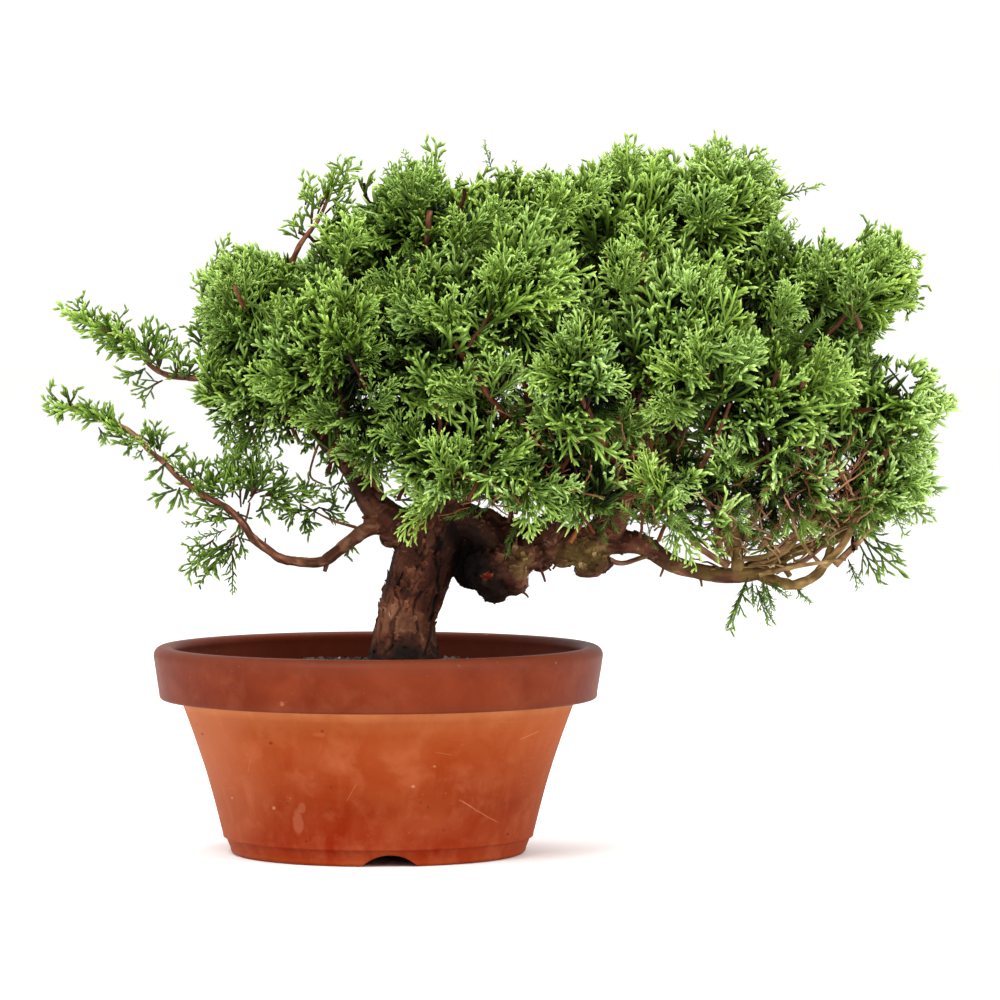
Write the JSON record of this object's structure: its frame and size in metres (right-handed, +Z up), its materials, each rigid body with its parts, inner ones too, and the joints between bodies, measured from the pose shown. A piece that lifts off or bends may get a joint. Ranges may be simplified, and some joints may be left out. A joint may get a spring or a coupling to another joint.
{
  "type": "potted juniper bonsai",
  "caption": "Wide-crowned juniper bonsai with a short thick trunk and burled right limb, planted in a round flared terracotta training pot with a thick rim collar.",
  "frame": {"origin": "middle of the bottom of the whole object's bounding box, on the surface that the pot stands on; the pot's own axis is about 65 mm to the left and 7 mm to the front of it", "axes": "+Z up, +X to the right along the crown's long side, -Y towards the front from which the tree is viewed"},
  "size_m": [0.4884, 0.2574, 0.3832],
  "materials": {
    "terracotta": "fired orange terracotta body, matt with dusty mottling; browner, slightly glossy rim collar",
    "net_plastic": "matt moulded net",
    "potting_mix": "dark damp grit and bark crumbs",
    "bark": "flaky red-brown bark with dark fissures",
    "juniper_foliage": "scale-leaf shoots, yellow-green tips on deep green"
  },
  "bodies": {
    "root": {"drain_mesh": "net_plastic", "foliage_back_left": "juniper_foliage", "foliage_back_low": "juniper_foliage", "foliage_back_mid": "juniper_foliage", "foliage_back_mid_left": "juniper_foliage", "foliage_back_outer": "juniper_foliage", "foliage_back_right": "juniper_foliage", "foliage_crown_left": "juniper_foliage", "foliage_crown_mid": "juniper_foliage", "foliage_crown_right": "juniper_foliage", "foliage_front_far_right": "juniper_foliage", "foliage_front_left": "juniper_foliage", "foliage_front_mid": "juniper_foliage", "foliage_front_mid_left": "juniper_foliage", "foliage_front_right": "juniper_foliage", "foliage_left_dome": "juniper_foliage", "foliage_left_hanging": "juniper_foliage", "foliage_left_lower": "juniper_foliage", "foliage_left_tip": "juniper_foliage", "foliage_left_upper": "juniper_foliage", "foliage_low_left": "juniper_foliage", "foliage_low_mid": "juniper_foliage", "foliage_low_right": "juniper_foliage", "foliage_right_crown": "juniper_foliage", "foliage_right_front": "juniper_foliage", "foliage_right_inner": "juniper_foliage", "foliage_right_low": "juniper_foliage", "foliage_right_mid": "juniper_foliage", "foliage_right_shoulder": "juniper_foliage", "foliage_right_tip": "juniper_foliage", "foliage_under_right": "juniper_foliage", "foliage_upper_left_twig": "juniper_foliage", "pot": "terracotta", "soil": "potting_mix", "trunk_and_branches": "bark"}
  },
  "joints": []
}
